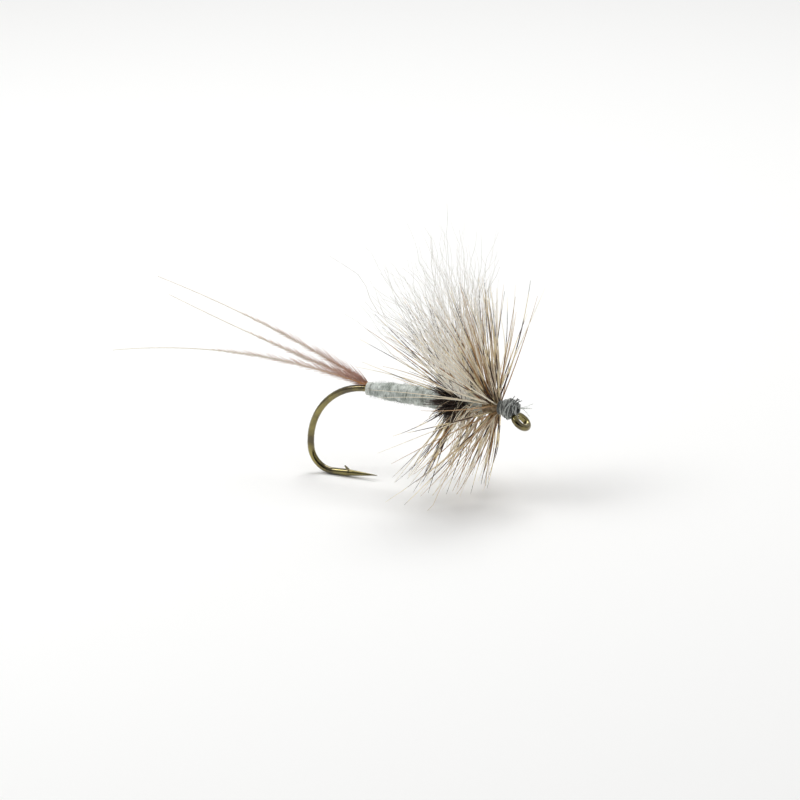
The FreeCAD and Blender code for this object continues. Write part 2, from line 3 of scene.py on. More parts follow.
import bpy
import numpy as np
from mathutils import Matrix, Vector


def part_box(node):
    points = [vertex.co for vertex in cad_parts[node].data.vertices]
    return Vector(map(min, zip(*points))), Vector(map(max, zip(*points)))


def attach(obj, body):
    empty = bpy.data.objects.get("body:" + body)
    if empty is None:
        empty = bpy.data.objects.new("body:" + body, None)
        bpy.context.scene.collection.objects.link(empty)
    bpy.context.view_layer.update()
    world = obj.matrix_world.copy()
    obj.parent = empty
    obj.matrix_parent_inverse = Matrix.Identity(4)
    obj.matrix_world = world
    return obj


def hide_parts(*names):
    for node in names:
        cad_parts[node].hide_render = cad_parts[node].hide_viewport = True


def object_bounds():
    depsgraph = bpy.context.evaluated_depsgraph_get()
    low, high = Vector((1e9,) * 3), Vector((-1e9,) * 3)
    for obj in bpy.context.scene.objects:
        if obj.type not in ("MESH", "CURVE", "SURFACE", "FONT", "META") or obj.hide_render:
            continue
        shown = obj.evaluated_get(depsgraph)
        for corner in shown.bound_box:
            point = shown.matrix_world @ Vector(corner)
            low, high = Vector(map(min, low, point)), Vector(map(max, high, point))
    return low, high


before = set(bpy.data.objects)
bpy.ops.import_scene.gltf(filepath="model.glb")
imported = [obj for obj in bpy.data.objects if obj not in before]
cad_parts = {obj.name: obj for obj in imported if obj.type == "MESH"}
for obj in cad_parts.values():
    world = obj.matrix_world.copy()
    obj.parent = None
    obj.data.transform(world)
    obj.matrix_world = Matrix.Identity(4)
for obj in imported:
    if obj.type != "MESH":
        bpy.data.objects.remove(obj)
cad_low, cad_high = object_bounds()

# ---- The hook ----
# A light-wire hook: one length of hardened steel with a turned-down eye, a round bend, a ground
# point and a cut barb. It is dipped in bronze lacquer, a thin yellow-brown coat on bright metal.

MM = 0.001


def linear(code):
    """Linear colour from sRGB hex: a dark channel over 12.92, any other raised to the power 2.4."""
    channels = [int(code[place:place + 2], 16) / 255 for place in (1, 3, 5)]
    return (*[c / 12.92 if c <= 0.04045 else ((c + 0.055) / 1.055) ** 2.4 for c in channels], 1)


def put(tree, kind, settings, inputs):
    """Add a node with its settings, and give its inputs a value or another node's output."""
    made = tree.nodes.new(kind)
    for word, value in settings.items():
        setattr(made, word, value)
    for place, value in inputs.items():
        if isinstance(value, bpy.types.NodeSocket):
            tree.links.new(value, made.inputs[place])
        else:
            made.inputs[place].default_value = value
    return made


def material_of(name, values):
    """A new material, its node tree and its shader, with constants set on the shader's sockets."""
    made = bpy.data.materials.new(name)
    made.use_nodes = True
    tree = made.node_tree
    shader = tree.nodes["Principled BSDF"]
    for socket, value in values.items():
        shader.inputs[socket].default_value = value
    return made, tree, shader


# Bronze lacquer over drawn steel: olive gold with brown patches where the coat pooled, and a
# bright, slightly broken highlight along the wire.
bronze, tree, shader = material_of("bronze_lacquered_steel", {
    "Metallic": 1.0, "Coat Weight": 1.0, "Coat Roughness": 0.08, "Coat IOR": 1.6,
})
place = put(tree, "ShaderNodeTexCoord", {}, {}).outputs["Object"]
POOL_SPACING = 1.2 * MM
pooling = put(tree, "ShaderNodeTexNoise", {}, {
    "Vector": place, "Scale": 1 / POOL_SPACING, "Detail": 3.0, "Roughness": 0.6,
}).outputs["Fac"]
pooled = put(tree, "ShaderNodeMapRange", {}, {"Value": pooling, "From Min": 0.35, "From Max": 0.65})
lacquer = put(tree, "ShaderNodeMix", {"data_type": "RGBA"}, {
    0: pooled.outputs["Result"], 6: linear("#8e8240"), 7: linear("#4b401d"),
})
tree.links.new(lacquer.outputs[2], shader.inputs["Base Color"])
# Draw marks of the wire are finer than 0.01 mm, and are drawn at 0.03 mm so that they show.
DRAW_MARK = 0.03 * MM
DRAW_MARK_HEIGHT = 0.002 * MM
marks = put(tree, "ShaderNodeTexNoise", {}, {"Vector": place, "Scale": 1 / DRAW_MARK, "Detail": 2.0})
grain = put(tree, "ShaderNodeMapRange", {}, {
    "Value": marks.outputs["Fac"], "To Min": 0.08, "To Max": 0.24,
})
tree.links.new(grain.outputs["Result"], shader.inputs["Roughness"])
bumps = put(tree, "ShaderNodeBump", {}, {
    "Strength": 0.15, "Distance": DRAW_MARK_HEIGHT, "Height": marks.outputs["Fac"],
})
tree.links.new(bumps.outputs["Normal"], shader.inputs["Normal"])


def dress(piece, material):
    """Give a piece, or a CAD node, one material all over."""
    piece.data.materials.clear()
    piece.data.materials.append(material)


dress(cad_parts["hook"], bronze)

# ---- Thread on the bare wire, and the tail's lashing ----
# A pale waxed tying thread lays a base for the dressing, with a short band of tight turns that
# holds the tail. The thread lies in side-by-side turns with a groove between each.

WIRE_RADIUS = 0.21 * MM
THREAD_PITCH = 0.062 * MM
SLEEVE_SIDES = 72
RINGS_PER_TURN = 8
# The shank is level, and its centreline is the middle of the layers wound on it.
wrap_low, wrap_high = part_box("thread_underwrap")
SHANK_Z = (wrap_low.z + wrap_high.z) / 2


def points_of(node):
    """The vertices of a CAD node, one row for each."""
    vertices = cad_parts[node].data.vertices
    points = np.empty(len(vertices) * 3)
    vertices.foreach_get("co", points)
    return points.reshape(-1, 3)


def outline(node):
    """A wound node's rear, thickest and front places along X, and the radius at each."""
    along, across, up = points_of(node).T
    radius = np.hypot(across, up - SHANK_Z)
    ends = [radius[np.abs(along - end) < 0.001 * MM].max() for end in (along.min(), along.max())]
    crown = along[radius.argmax()]
    return np.array([along.min(), crown, along.max()]), np.array([ends[0], radius.max(), ends[1]])


def mesh_piece(name, points, *faces):
    """A smooth mesh from points and arrays of faces, each array holding faces of one size."""
    mesh = bpy.data.meshes.new(name)
    corners = np.concatenate([group.ravel() for group in faces])
    counts = np.concatenate([np.full(len(group), group.shape[1]) for group in faces])
    mesh.vertices.add(len(points))
    mesh.vertices.foreach_set("co", points.astype(np.float32).ravel())
    mesh.loops.add(len(corners))
    mesh.loops.foreach_set("vertex_index", corners.astype(np.int32))
    mesh.polygons.add(len(counts))
    mesh.polygons.foreach_set("loop_start", (np.cumsum(counts) - counts).astype(np.int32))
    mesh.polygons.foreach_set("use_smooth", np.ones(len(counts), bool))
    mesh.update(calc_edges=True)
    mesh.validate()
    piece = bpy.data.objects.new(name, mesh)
    bpy.context.scene.collection.objects.link(piece)
    return piece


def ring_faces(rings, sides):
    """Quads between neighbouring rings of points, the last ring joined back to the first."""
    index = np.arange(rings * sides).reshape(rings, sides)
    beside = np.roll(index, -1, axis=1)
    return np.stack([index, beside, np.roll(beside, -1, axis=0), np.roll(index, -1, axis=0)],
                    axis=-1).reshape(-1, 4)


def wound_sleeve(name, along, outside, bore, pitch, depth, wander=0.0):
    """A layer of side-by-side turns on the shank, closed at both ends and along its bore.

    The radius is outside(x) less depth * (1 - |sin(pi * (x / pitch + angle / one turn))| ** 0.7),
    so that full, round strands climb the shank as a screw. wander shifts them by two slow waves.
    """
    count = max(6, int(round((along[-1] - along[0]) / pitch * RINGS_PER_TURN)))
    x = np.linspace(along[0], along[-1], count)[:, None]
    angle = np.linspace(0, 2 * math.pi, SLEEVE_SIDES, endpoint=False)[None, :]
    sway = wander * (np.sin(x / pitch * 1.9 + 2 * angle) + np.sin(x / pitch * 0.63 + 3 * angle + 1))
    strand = np.abs(np.sin(math.pi * (x / pitch + angle / (2 * math.pi) + sway)))
    radius = np.interp(x, along, outside) - depth * (1 - strand ** 0.7)
    inner = np.interp(x, along, bore) + 0 * angle
    shell = np.concatenate([radius, inner[::-1]])
    stations = np.concatenate([x, x[::-1]]) + 0 * shell
    points = np.stack([
        stations, shell * np.sin(angle), SHANK_Z + shell * np.cos(angle),
    ], axis=-1)
    return mesh_piece(name, points.reshape(-1, 3), ring_faces(2 * count, SLEEVE_SIDES)[:, ::-1])


def thread_of(name, pale, dark, roughness):
    """Waxed multifilament thread: filaments show as fine streaks round the shank, the dark colour
    painted shade between them.
    """
    made, tree, shader = material_of(name, {
        "Roughness": roughness, "IOR": 1.53, "Sheen Weight": 0.3, "Sheen Roughness": 0.4,
    })
    place = put(tree, "ShaderNodeTexCoord", {}, {}).outputs["Object"]
    # A filament is about 0.01 mm across, drawn at 0.02 mm so that it shows, and ten times as long.
    filament = 0.02 * MM
    streak = put(tree, "ShaderNodeMapping", {}, {
        "Vector": place, "Scale": (1 / filament, 0.1 / filament, 0.1 / filament),
    })
    noise = put(tree, "ShaderNodeTexNoise", {}, {
        "Vector": streak.outputs["Vector"], "Scale": 1.0, "Detail": 3.0, "Roughness": 0.65,
    })
    shade = put(tree, "ShaderNodeMapRange", {}, {
        "Value": noise.outputs["Fac"], "From Min": 0.35, "From Max": 0.62,
    })
    # Painted shade: the dark colour lies between the filaments, where shade falls.
    colour = put(tree, "ShaderNodeMix", {"data_type": "RGBA"}, {
        0: shade.outputs["Result"], 6: linear(dark), 7: linear(pale),
    })
    tree.links.new(colour.outputs[2], shader.inputs["Base Color"])
    bump = put(tree, "ShaderNodeBump", {}, {
        "Strength": 0.5, "Distance": 0.2 * filament, "Height": noise.outputs["Fac"],
    })
    tree.links.new(bump.outputs["Normal"], shader.inputs["Normal"])
    return made


# Pale waxed thread is off-white and slightly lustrous, with grey painted shade between its filaments.
pale_thread = thread_of("pale_waxed_thread", "#e9ece6", "#b4bbb3", 0.55)
dress(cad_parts["thread_underwrap"], pale_thread)
dress(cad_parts["underbody"], pale_thread)


def add_piece(piece, material, slot, *nodes):
    """A finished piece: its material, the body it rides on and any CAD nodes it stands for."""
    dress(piece, material)
    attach(piece, "root")
    if nodes:
        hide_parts(*nodes)


along, outside = outline("tail_lashing")
lashing = wound_sleeve("tail_thread_band", along, outside, outside * 0 + WIRE_RADIUS,
                       THREAD_PITCH, 0.02 * MM, 0.05)
add_piece(lashing, pale_thread, "pale_thread", "tail_lashing")

# ---- The tail ----
# Three barbs from the side of a dun cock feather, tied in as a bunch and spread. Each is a
# tapering stem fringed with fine barbules near the body, and bare towards its tip.

TAIL_POINTS = 40
TAIL_ROOT_RADIUS = 0.05 * MM
TAIL_TIP_RADIUS = 0.018 * MM
# The fringe ends at this share of the stem's length. The count is for one side of the stem.
FRINGE_SHARE = 0.6
FRINGE_COUNT = 150
BARBULE_RADIUS = 0.0135 * MM
# Mean lengths where the fringe ends and at the body. Those under the stem are shorter.
BARBULE_SHORT = 0.12
BARBULE_LONG = 0.92
UNDER_SHARE = 0.65
rng = np.random.default_rng(12)


def fibres(name, paths, radii, tones, sides):
    """Round tapered fibres in one mesh, each ring square to its path and both ends capped.

    paths is fibres * points * 3, radii is fibres * points. A ring's point is the path's point
    plus the radius times (cos(turn) * aside + sin(turn) * above). Two attributes follow the
    surface: tone, one number per fibre, and along, from 0 at the root to 1 at the tip.
    """
    count, steps = radii.shape
    heading = np.gradient(paths, axis=1)
    heading /= np.linalg.norm(heading, axis=2, keepdims=True)
    steep = np.abs(heading[:, :1, 1:2]) > 0.8
    level = np.where(steep, [[[1.0, 0.0, 0.0]]], [[[0.0, 1.0, 0.0]]])
    aside = np.cross(heading, level)
    aside /= np.linalg.norm(aside, axis=2, keepdims=True)
    above = np.cross(heading, aside)
    turn = np.arange(sides) * 2 * math.pi / sides
    ring = (aside[:, :, None] * np.cos(turn)[:, None] + above[:, :, None] * np.sin(turn)[:, None])
    points = paths[:, :, None] + radii[:, :, None, None] * ring
    index = np.arange(count * steps * sides).reshape(count, steps, sides)
    beside = np.roll(index, -1, axis=2)
    flanks = np.stack([index[:, :-1], beside[:, :-1], beside[:, 1:], index[:, 1:]], axis=-1)
    piece = mesh_piece(name, points.reshape(-1, 3), flanks.reshape(-1, 4),
                       index[:, 0, ::-1], index[:, -1])
    share = np.broadcast_to(np.linspace(0, 1, steps)[None, :, None], index.shape)
    tone = np.broadcast_to(np.asarray(tones)[:, None, None], index.shape)
    for word, values in (("along", share), ("tone", tone)):
        layer = piece.data.attributes.new(word, "FLOAT", "POINT")
        layer.data.foreach_set("value", values.astype(np.float32).ravel())
    return piece


def tail_path(node):
    """A cubic in x, y and z fitted to the middles of a tail node's sections, root to tip."""
    points = points_of(node)
    points = points[np.argsort(-points[:, 0])]
    # Sections stand more than 0.5 mm apart, so a wider step along X starts the next one.
    breaks = np.flatnonzero(-np.diff(points[:, 0]) > 0.5 * MM) + 1
    middles = np.array([group.mean(axis=0) for group in np.split(points, breaks)])
    smooth = np.polyfit(np.linspace(0, 1, len(middles)), middles, 3)
    t = np.linspace(0, 1, TAIL_POINTS)[:, None]
    return smooth[0] * t ** 3 + smooth[1] * t ** 2 + smooth[2] * t + smooth[3]


# Dun feather fibre: orange-brown stem and pink-brown fringe at the base, fading to pale beige.
# A stem has tone 0, and its colour follows its length. A barbule's colour follows its tone.
tail_feather, tree, shader = material_of("dun_feather_fibre", {
    "Roughness": 0.45, "IOR": 1.54, "Sheen Weight": 0.25, "Sheen Roughness": 0.35,
})
along_fac = put(tree, "ShaderNodeAttribute", {"attribute_name": "along"}, {}).outputs["Fac"]
tone_fac = put(tree, "ShaderNodeAttribute", {"attribute_name": "tone"}, {}).outputs["Fac"]
fade = put(tree, "ShaderNodeMapRange", {}, {"Value": along_fac, "From Min": 0.02, "From Max": 0.3})
stem_colour = put(tree, "ShaderNodeMix", {"data_type": "RGBA"}, {
    0: fade.outputs["Result"], 6: linear("#c78a55"), 7: linear("#ebe3d3"),
})
fringe_colour = put(tree, "ShaderNodeMix", {"data_type": "RGBA"}, {
    0: tone_fac, 6: linear("#b57861"), 7: linear("#ecd9c8"),
})
is_fringe = put(tree, "ShaderNodeMath", {"operation": "GREATER_THAN"}, {0: tone_fac, 1: 0.001})
tail_colour = put(tree, "ShaderNodeMix", {"data_type": "RGBA"}, {
    0: is_fringe.outputs["Value"], 6: stem_colour.outputs[2], 7: fringe_colour.outputs[2],
})
tree.links.new(tail_colour.outputs[2], shader.inputs["Base Color"])


def tail_barb(node):
    """A stem on the node's line, and barbules slanting forward from two sides of it.

    A barbule is a gentle arc: root + length * (t * slant + 0.25 * t * t * stem heading).
    """
    path = tail_path(node)
    share = np.linspace(0, 1, TAIL_POINTS)
    swell = (TAIL_ROOT_RADIUS - TAIL_TIP_RADIUS) * (1 - share) ** 0.8
    stem = fibres(f"{node}_stem", path[None], (swell + TAIL_TIP_RADIUS)[None], np.zeros(1), 8)
    add_piece(stem, tail_feather, "tail_feather")

    count = 2 * FRINGE_COUNT
    at = FRINGE_SHARE * ((np.arange(count) + rng.random(count)) / count) ** 1.25
    root = np.stack([np.interp(at, share, path[:, axis]) for axis in range(3)], axis=1)
    ahead = np.stack([np.interp(at, share, np.gradient(path[:, axis])) for axis in range(3)], axis=1)
    ahead /= np.linalg.norm(ahead, axis=1, keepdims=True)
    up = np.array([0.0, 0.0, 1.0]) - ahead * ahead[:, 2:]
    side = np.where(np.arange(count) % 2 == 0, 1.0, -1.0)
    out = up * side[:, None] + np.array([0.0, 1.0, 0.0]) * rng.normal(0, 0.45, count)[:, None]
    out /= np.linalg.norm(out, axis=1, keepdims=True)
    # This falls from 1 at the body to 0 where the fringe ends, and the barbules shorten with it.
    thin = np.clip(1 - at / FRINGE_SHARE, 0, 1)
    mean_length = BARBULE_SHORT + (BARBULE_LONG - BARBULE_SHORT) * thin ** 0.55
    length = MM * mean_length * rng.uniform(0.35, 1.25, count)
    length *= np.where(side > 0, 1, UNDER_SHARE)
    slant = ahead * 0.9 + out * (0.34 + 0.12 * thin)[:, None]
    t = np.linspace(0, 1, 4)[None, :, None]
    paths = root[:, None] + length[:, None, None] * (
        t * slant[:, None] + 0.25 * t ** 2 * ahead[:, None])
    radii = np.full((count, 1), BARBULE_RADIUS) * np.array([[1.0, 0.9, 0.7, 0.3]])
    tones = np.clip(0.75 * (1 - thin) + rng.uniform(0.02, 0.3, count), 0.01, 1)
    fringe = fibres(f"{node}_fringe", paths, radii, tones, 3)
    add_piece(fringe, tail_feather, "tail_feather", node)


for level_name in ("upper", "middle", "lower"):
    tail_barb(f"tail_barb_{level_name}")

# ---- The body ----
# Grey-green wool yarn wound forward in touching turns over a tapered thread bed. The turns
# swell as low ridges, and fine loose hairs stand off the yarn.

BODY_TURNS = 10
TURN_GROOVE = 0.055 * MM
BODY_FUZZ = 900
FUZZ_RADIUS = 0.008 * MM
# Fibres are rooted this far under the surface they stand on.
ROOT_DEPTH = 0.03 * MM

# Spun wool is matt and soft-edged: pale grey-green, mottled at random, with painted shade in the
# hollows between its fibres and painted highlight along them.
body_yarn, tree, shader = material_of("spun_wool_yarn", {
    "Roughness": 0.85, "IOR": 1.55, "Sheen Weight": 0.6, "Sheen Roughness": 0.5,
})
place = put(tree, "ShaderNodeTexCoord", {}, {}).outputs["Object"]
# Wool fibres run round the shank. A fibre is 0.02 mm across, drawn at 0.035 mm so that it shows.
WOOL_FIBRE = 0.035 * MM
WOOL_PATCH = 0.5 * MM
run = put(tree, "ShaderNodeMapping", {}, {
    "Vector": place, "Scale": (1 / WOOL_FIBRE, 0.16 / WOOL_FIBRE, 0.16 / WOOL_FIBRE),
    "Rotation": (0.0, 0.12, 0.1),
})
streaks = put(tree, "ShaderNodeTexNoise", {}, {
    "Vector": run.outputs["Vector"], "Scale": 1.0, "Detail": 4.0, "Roughness": 0.7,
})
patches = put(tree, "ShaderNodeTexNoise", {}, {
    "Vector": place, "Scale": 1 / WOOL_PATCH, "Detail": 2.0,
})
blend = put(tree, "ShaderNodeMath", {"operation": "MULTIPLY_ADD"}, {
    0: patches.outputs["Fac"], 1: 0.7, 2: streaks.outputs["Fac"],
})
shade = put(tree, "ShaderNodeMapRange", {}, {
    "Value": blend.outputs["Value"], "From Min": 0.66, "From Max": 1.02,
})
# Painted light: the dark end is painted shade in the hollows, the near-white end painted highlight on
# the fibres. The patches are random mottling.
wool = put(tree, "ShaderNodeMix", {"data_type": "RGBA"}, {
    0: shade.outputs["Result"], 6: linear("#6f7a70"), 7: linear("#eaf0eb"),
})
tree.links.new(wool.outputs[2], shader.inputs["Base Color"])
fluff = put(tree, "ShaderNodeBump", {}, {
    "Strength": 0.9, "Distance": 0.012 * MM, "Height": streaks.outputs["Fac"],
})
tree.links.new(fluff.outputs["Normal"], shader.inputs["Normal"])

_, bed = outline("underbody")
body_along, body_ends = outline("body_winding")
bed_ends = np.array([bed[0], bed[-1]])
# The CAD ends give the yarn's mean thickness, and its crests stand as far again off the bed.
crests = 2 * body_ends[[0, 2]] - bed_ends
# The yarn swells quickly from the tail, and every other turn stands a little prouder.
body_share = np.linspace(0, 1, 80)
swell = np.interp(body_share, [0, 0.06, 0.2, 0.5, 1], [-0.04, 0.02, 0.09, 0.06, 0.01])
swell += 0.022 * np.sin(math.pi * BODY_TURNS * body_share + 0.8) * np.minimum(body_share * 8, 1)
body_length = body_along[2] - body_along[0]
body_radii = crests[0] + body_share * (crests[1] - crests[0]) + swell * MM
yarn = wound_sleeve("yarn_body", body_along[0] + body_share * body_length, body_radii,
                    bed_ends[0] + body_share * np.ptp(bed_ends), body_length / BODY_TURNS,
                    TURN_GROOVE, 0.09)
add_piece(yarn, body_yarn, "body_yarn", "body_winding")


def body_fuzz():
    """Loose wool hairs: root + length * (t * heading - 0.45 * t * t * out * heading_y ** 2)."""
    at = rng.random(BODY_FUZZ)
    angle = rng.uniform(0, 2 * math.pi, BODY_FUZZ)
    x = body_along[0] + at * body_length
    radius = np.interp(at, body_share, body_radii) - ROOT_DEPTH
    out = np.stack([0 * angle, np.sin(angle), np.cos(angle)], axis=1)
    round_shank = np.stack([0 * angle, np.cos(angle), -np.sin(angle)], axis=1)
    root = np.stack([x, radius * np.sin(angle), SHANK_Z + radius * np.cos(angle)], axis=1)
    heading = out * rng.uniform(0.15, 0.6, (BODY_FUZZ, 1))
    heading += round_shank * rng.choice([-1.0, 1.0], (BODY_FUZZ, 1))
    heading[:, 0] += rng.normal(0, 0.45, BODY_FUZZ)
    heading /= np.linalg.norm(heading, axis=1, keepdims=True)
    length = MM * rng.uniform(0.15, 0.45, BODY_FUZZ)
    t = np.linspace(0, 1, 5)[None, :, None]
    paths = root[:, None] + length[:, None, None] * (
        t * heading[:, None] - 0.45 * t ** 2 * out[:, None] * heading[:, None, 1:2] ** 2)
    radii = np.full((BODY_FUZZ, 5), FUZZ_RADIUS) * np.array([[1, 1, 0.9, 0.7, 0.4]])
    return fibres("yarn_fuzz", paths, radii, rng.random(BODY_FUZZ), 3)


add_piece(body_fuzz(), body_yarn, "body_yarn")

# ---- The wings ----
# Two bundles of fine calf-tail hair, tied in by their butts, stood up and parted by figure-eight
# turns. The butts lie back along the shank under thread. The hair is crinkled and unstacked.

HAIRS_PER_WING = 120
HAIR_POINTS = 15
WING_LEAN = math.radians(18)
WING_TILT = math.radians(21)
BUNDLE_RADIUS = 0.24 * MM
# In degrees, how far a hair at the bundle's edge splays from its axis, and the scatter of that.
SPLAY = 13
SPLAY_SCATTER = 3.5
# Millimetres: the hairs' mean length, its scatter, and the shortest and longest.
HAIR_LENGTH = 8.0
LENGTH_SCATTER = 1.4
SHORTEST_HAIR = 5.0
LONGEST_HAIR = 11.5
# The hair's crinkle is a long wave and a short one, each a period and a height at the tip.
CRINKLES = ((5.0 * MM, 0.24 * MM), (2.6 * MM, 0.07 * MM))

# Calf-tail hair is off-white with a grey, faintly glassy body and a soft highlight. Light passes
# from hair to hair, which the subsurface and a faint painted glow stand for: the hair glows though
# it is no lamp. The hair is painted whitest at its root, painted light against the shade of the dense
# bundle.
wing_hair, tree, shader = material_of("natural_calf_hair", {
    "Roughness": 0.4, "IOR": 1.55, "Subsurface Weight": 0.6, "Subsurface Scale": 0.05 * MM,
    "Subsurface Radius": (1.0, 1.0, 1.0),
    # The emission is a painted glow.
    "Emission Color": linear("#fffaf0"), "Emission Strength": 0.08,
})
tone_fac = put(tree, "ShaderNodeAttribute", {"attribute_name": "tone"}, {}).outputs["Fac"]
along_fac = put(tree, "ShaderNodeAttribute", {"attribute_name": "along"}, {}).outputs["Fac"]
hair_colour = put(tree, "ShaderNodeMix", {"data_type": "RGBA"}, {
    0: tone_fac, 6: linear("#b9b4ad"), 7: linear("#f6f4f0"),
})
# Painted light: the roots are painted whiter, lifting the shade in the dense base of the bundle.
root_painted_light = put(tree, "ShaderNodeMapRange", {}, {
    "Value": along_fac, "From Min": 0.2, "From Max": 0.75, "To Min": 1.0, "To Max": 0.0,
})
hair_colour = put(tree, "ShaderNodeMix", {"data_type": "RGBA"}, {
    0: root_painted_light.outputs["Result"], 6: hair_colour.outputs[2], 7: linear("#fffaef"),
})
tree.links.new(hair_colour.outputs[2], shader.inputs["Base Color"])
dress(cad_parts["wing_butts"], wing_hair)


def unit(vectors):
    """Each vector over its own length."""
    return vectors / np.linalg.norm(vectors, axis=-1, keepdims=True)


def wing_axes(side):
    """A wing's axis, leaned back and tilted out to its side, and two directions square to it."""
    tilt = WING_TILT * side
    axis = np.array([-math.sin(WING_LEAN), math.cos(WING_LEAN) * math.sin(tilt),
                     math.cos(WING_LEAN) * math.cos(tilt)])
    aft = unit(np.cross(axis, [0.0, 1.0, 0.0]))
    return axis, aft, np.cross(aft, axis)


def wing(name, node, post, side):
    """A fan of crinkled hairs from a bundle's root.

    A hair is root + length * (t * heading + bow * t * t) plus two sine waves each way across
    the wing's axis, whose size grows with t ** 0.8.
    """
    low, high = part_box(post)
    root = np.array([(low.x + high.x) / 2, (low.y + high.y) / 2, low.z])
    axis, aft, aside = wing_axes(side)
    share = np.sqrt(rng.random(HAIRS_PER_WING))
    clock = rng.uniform(0, 2 * math.pi, HAIRS_PER_WING)
    out = aft * (share * np.cos(clock))[:, None] + aside * (share * np.sin(clock))[:, None]
    splay = np.tan(np.radians(rng.normal(SPLAY, SPLAY_SCATTER, HAIRS_PER_WING)))
    # The back of the fan opens a third wider than its front.
    splay = splay[:, None] * (1 + 0.35 * (out @ aft > 0))[:, None]
    heading = unit(axis + out * splay)
    length = rng.normal(HAIR_LENGTH, LENGTH_SCATTER, HAIRS_PER_WING)
    length = MM * np.clip(length, SHORTEST_HAIR, LONGEST_HAIR)
    t = np.linspace(0, 1, HAIR_POINTS)[None, :, None]
    bow = rng.normal(0, 0.09, (HAIRS_PER_WING, 1, 3))
    wave = np.zeros((HAIRS_PER_WING, HAIR_POINTS, 3))
    for across in (aft, aside):
        for period, height in CRINKLES:
            phase = rng.uniform(0, 2 * math.pi, (HAIRS_PER_WING, 1))
            waves = 2 * math.pi * length[:, None] * t[0, :, 0] / period
            size = height * rng.normal(1, 0.4, (HAIRS_PER_WING, 1)) * t[0, :, 0] ** 0.8
            wave += (size * np.sin(waves + phase))[:, :, None] * across
    paths = root + out[:, None] * BUNDLE_RADIUS + length[:, None, None] * (
        t * heading[:, None] + bow * t ** 2) + wave
    thick = MM * rng.uniform(0.017, 0.026, (HAIRS_PER_WING, 1))
    radii = thick * (1 - 0.6 * t[0, :, 0] ** 1.5)
    hairs = fibres(name, paths, radii, rng.random(HAIRS_PER_WING), 4)
    add_piece(hairs, wing_hair, "wing_hair", node)


wing("hair_wing_near", "wing_near", "wing_post_wrap_near", -1)
wing("hair_wing_far", "wing_far", "wing_post_wrap_far", 1)

POST_TURNS = 6
POINTS_PER_TURN = 24
POST_RADIUS = 0.36 * MM
POST_HEIGHT = 0.3 * MM
THREAD_RADIUS = 0.032 * MM


def post_thread(name, node, side):
    """A screw of thread about a wing's axis: centre + axis * rise + radius * (cos, sin) across."""
    low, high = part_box(node)
    centre = np.array([(low.x + high.x) / 2, (low.y + high.y) / 2, (low.z + high.z) / 2])
    axis, aft, aside = wing_axes(side)
    t = np.linspace(0, 1, POST_TURNS * POINTS_PER_TURN)
    angle = 2 * math.pi * POST_TURNS * t
    path = (centre + axis * ((t - 0.5) * POST_HEIGHT)[:, None]
            + aft * (POST_RADIUS * np.cos(angle))[:, None]
            + aside * (POST_RADIUS * np.sin(angle))[:, None])
    thread = fibres(name, path[None], np.full((1, len(t)), THREAD_RADIUS), np.zeros(1), 6)
    add_piece(thread, pale_thread, "pale_thread", node)


post_thread("post_thread_near", "wing_post_wrap_near", -1)
post_thread("post_thread_far", "wing_post_wrap_far", 1)

# The thread over the butts is a thin layer. The other two bands go down to the underwrap.
BUTT_THREAD_THICKNESS = 0.04 * MM
for name, node, depth in (("butt_thread", "wing_butt_lashing", 0.018 * MM),
                          ("figure_eight_thread", "wing_figure_eight", 0.022 * MM),
                          ("dam_thread", "wing_front_dam", 0.02 * MM)):
    along, outside = outline(node)
    under = wrap_high.y
    if node == "wing_butt_lashing":
        under = outside[1] - BUTT_THREAD_THICKNESS
    band = wound_sleeve(name, along, outside, outside * 0 + under, THREAD_PITCH, depth, 0.08)
    add_piece(band, pale_thread, "pale_thread", node)

# ---- The hackles ----
# Two cock feathers are wound by the quill, three turns each: a mostly grizzly one behind the wing
# and a mostly ginger and cream one in front. Their barbs stand out like spokes round the shank.

BARB_POINTS = 9
# A barb's root lies up to this far to either side of its place on the quill.
ROOT_SCATTER = 0.17 * MM
# In degrees, the scatter of a barb's lean, and in millimetres, the scatter of its length.
LEAN_SCATTER = 7
BARB_LENGTH_SCATTER = 0.55
# The hackle is thinnest at the shank's sides, and thinner below the shank than above it: how far
# the barbs draw away from the sides, and the share lost on the far side, the near side and below.
SIDE_THINNING = 0.25
FAR_LOSS = 0.6
NEAR_LOSS = 0.97
LOWER_LOSS = 0.35
# Degrees by which the far side's level barbs lie further back than the rest.
FAR_SWEEP = 40
# The hook's lowest point is where the fly stands, and no barb goes below it.
GROUND_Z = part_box("hook")[0].z

# Cock hackle is glossy and barred: blackish-brown and cream bars on the grizzly barbs, clear
# ginger or cream on the rest. A barb with a tone under 0.5 is barred, and any other is clear.
hackle_barb, tree, shader = material_of("barred_cock_hackle", {
    "Roughness": 0.4, "IOR": 1.45, "Coat Weight": 0.05, "Coat Roughness": 0.25,
})
tone_fac = put(tree, "ShaderNodeAttribute", {"attribute_name": "tone"}, {}).outputs["Fac"]
along_fac = put(tree, "ShaderNodeAttribute", {"attribute_name": "along"}, {}).outputs["Fac"]
# Two or so bars lie along a 6 mm barb, 2.7 mm from one to the next, and start at a different
# place on each barb. The run is the angle in radians that the wave of bars turns through.
BAR_RUN = 14.0
BAR_START = 60.0
started = put(tree, "ShaderNodeMath", {"operation": "MULTIPLY"}, {0: tone_fac, 1: BAR_START})
bar_angle = put(tree, "ShaderNodeMath", {"operation": "MULTIPLY_ADD"}, {
    0: along_fac, 1: BAR_RUN, 2: started.outputs["Value"],
})
bar_wave = put(tree, "ShaderNodeMath", {"operation": "SINE"}, {0: bar_angle.outputs["Value"]})
